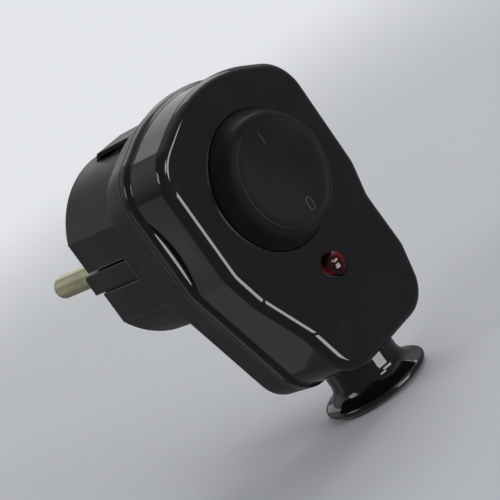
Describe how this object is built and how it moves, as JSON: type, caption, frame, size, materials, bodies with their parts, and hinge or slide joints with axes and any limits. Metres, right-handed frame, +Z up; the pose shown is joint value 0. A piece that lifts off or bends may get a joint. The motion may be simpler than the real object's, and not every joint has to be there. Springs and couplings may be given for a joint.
{
  "type": "switched angle plug",
  "caption": "Rewirable right-angle mains plug with round pins, a rocker switch under a rubber boot, a red neon lamp and a flared cable bell.",
  "frame": {"origin": "middle of the pin face, halfway between the two pins", "axes": "+Y along the pins, out of the plug; +Z up, away from the cable bell; +X along the pin pitch, to the right seen from the switch"},
  "size_m": [0.0432, 0.0677, 0.0682],
  "materials": {
    "housing_matte": "fine matte moulded black thermoplastic",
    "cover_gloss": "high gloss moulded black thermoplastic",
    "boot_rubber": "matte black rubber",
    "switch_moulding": "moulded dark brown thermoset",
    "pin_brass": "nickel-plated brass, turned",
    "contact_brass": "bare brass sheet",
    "screw_steel": "zinc-plated steel",
    "lens_red": "clear red moulded acrylic",
    "lamp_glass": "clear glass",
    "resistor_lacquer": "lacquered ceramic",
    "tinned_wire": "tinned copper wire"
  },
  "bodies": {
    "housing": {"rear_housing": "housing_matte", "front_cover": "cover_gloss", "pin_carrier": "housing_matte", "earth_socket": "contact_brass", "earth_strap": "pin_brass", "earth_screw": "screw_steel", "switch_base": "switch_moulding", "rubber_boot": "boot_rubber", "boot_retainer": "switch_moulding", "lamp_lens": "lens_red", "neon_lamp": "lamp_glass", "lamp_resistor": "resistor_lacquer", "lamp_lead_left": "tinned_wire", "lamp_lead_near": "tinned_wire", "lamp_lead_far": "tinned_wire", "cable_clamp": "housing_matte", "cable_bell": "cover_gloss", "pin_left": "pin_brass", "pin_screw_left": "screw_steel", "line_terminal_left": "contact_brass", "load_terminal_left": "contact_brass", "terminal_screw_left": "screw_steel", "clamp_screw_left": "screw_steel", "housing_screw_left": "screw_steel", "pin_right": "pin_brass", "pin_screw_right": "screw_steel", "line_terminal_right": "contact_brass", "load_terminal_right": "contact_brass", "terminal_screw_right": "screw_steel", "clamp_screw_right": "screw_steel", "housing_screw_right": "screw_steel", "base_screw_1": "screw_steel", "base_screw_2": "screw_steel", "base_screw_3": "screw_steel", "base_screw_4": "screw_steel"},
    "rocker": {"rocker": "switch_moulding", "plunger_spring_left": "screw_steel", "plunger_spring_right": "screw_steel"},
    "lever_left": {"contact_lever_left": "contact_brass"},
    "lever_right": {"contact_lever_right": "contact_brass"},
    "plunger_left": {"plunger_left": "switch_moulding"},
    "plunger_right": {"plunger_right": "switch_moulding"}
  },
  "joints": [
    {"name": "rocker_tilt", "type": "hinge", "parent": "housing", "child": "rocker", "pos_m": [0, -0.0385, 0.0007], "axis": [1, 0, 0], "range_deg": [-7, 7], "deforming": ["rubber_boot"]},
    {"name": "lever_tilt_left", "type": "hinge", "parent": "housing", "child": "lever_left", "pos_m": [-0.0065, -0.0332, 0.0007], "axis": [1, 0, 0], "range_deg": [-7, 7]},
    {"name": "plunger_slide_left", "type": "slide", "parent": "rocker", "child": "plunger_left", "axis": [0, 1, 0], "range_m": [-0.0003, 0], "stiffness_N_per_m": 300, "springref_m": 0.001, "deforming": ["plunger_spring_left"]},
    {"name": "lever_tilt_right", "type": "hinge", "parent": "housing", "child": "lever_right", "pos_m": [0.0065, -0.0332, 0.0007], "axis": [1, 0, 0], "range_deg": [-7, 7]},
    {"name": "plunger_slide_right", "type": "slide", "parent": "rocker", "child": "plunger_right", "axis": [0, 1, 0], "range_m": [-0.0003, 0], "stiffness_N_per_m": 300, "springref_m": 0.001, "deforming": ["plunger_spring_right"]}
  ],
  "couplings": [
    {"joint": "lever_tilt_left", "follows": "rocker_tilt", "ratio": -1},
    {"joint": "lever_tilt_right", "follows": "rocker_tilt", "ratio": -1}
  ]
}
